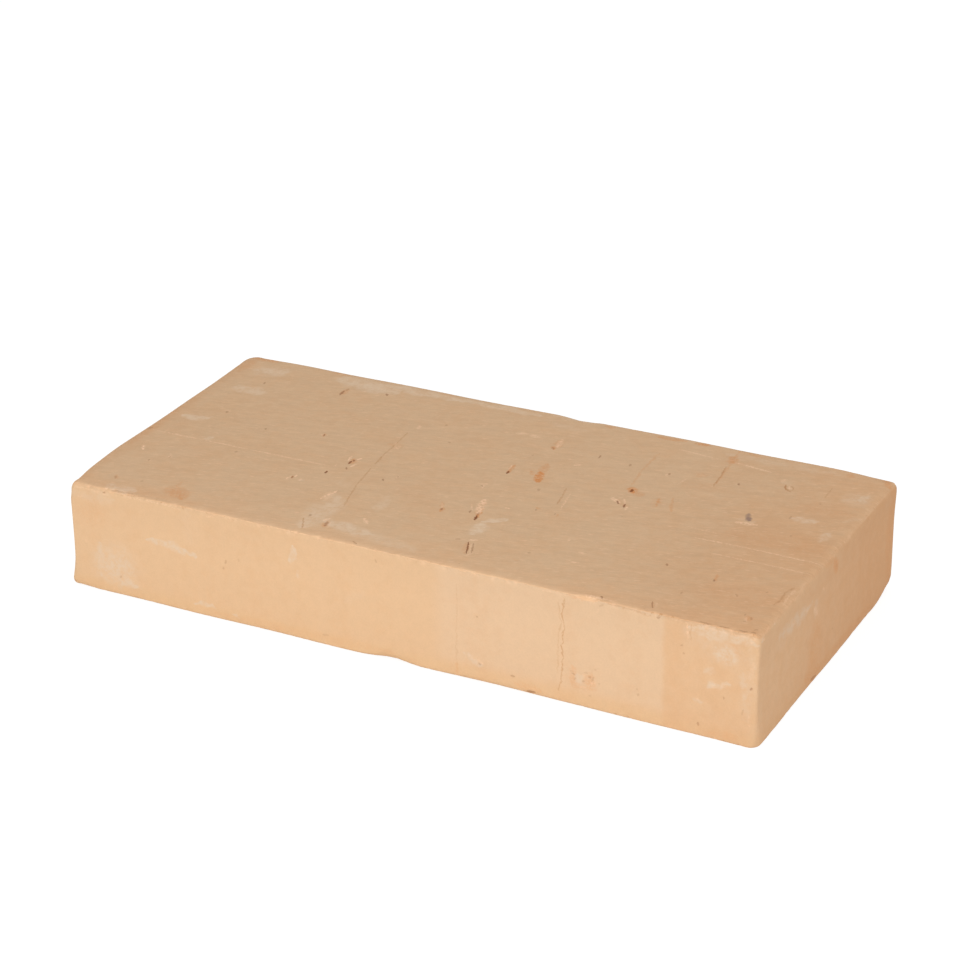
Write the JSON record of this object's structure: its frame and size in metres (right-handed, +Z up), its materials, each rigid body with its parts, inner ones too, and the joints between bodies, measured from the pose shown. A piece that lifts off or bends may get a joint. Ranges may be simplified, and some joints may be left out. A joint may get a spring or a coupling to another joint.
{
  "type": "solid clay brick",
  "caption": "Solid wire-cut clay brick, a thin rectangular slab with rounded upright corners, softly worn arrises and two flat beds.",
  "frame": {"origin": "centre of the bed face that the brick lies on", "axes": "+Z up through the thickness, +X along the length, -Y towards the front stretcher face"},
  "size_m": [0.292, 0.1406, 0.0455],
  "materials": {
    "fired_clay": "matt straw-buff fired clay, wire-cut texture on both beds, smoother die-drawn sides with faint upright bands"
  },
  "bodies": {
    "root": {"brick": "fired_clay"}
  },
  "joints": []
}
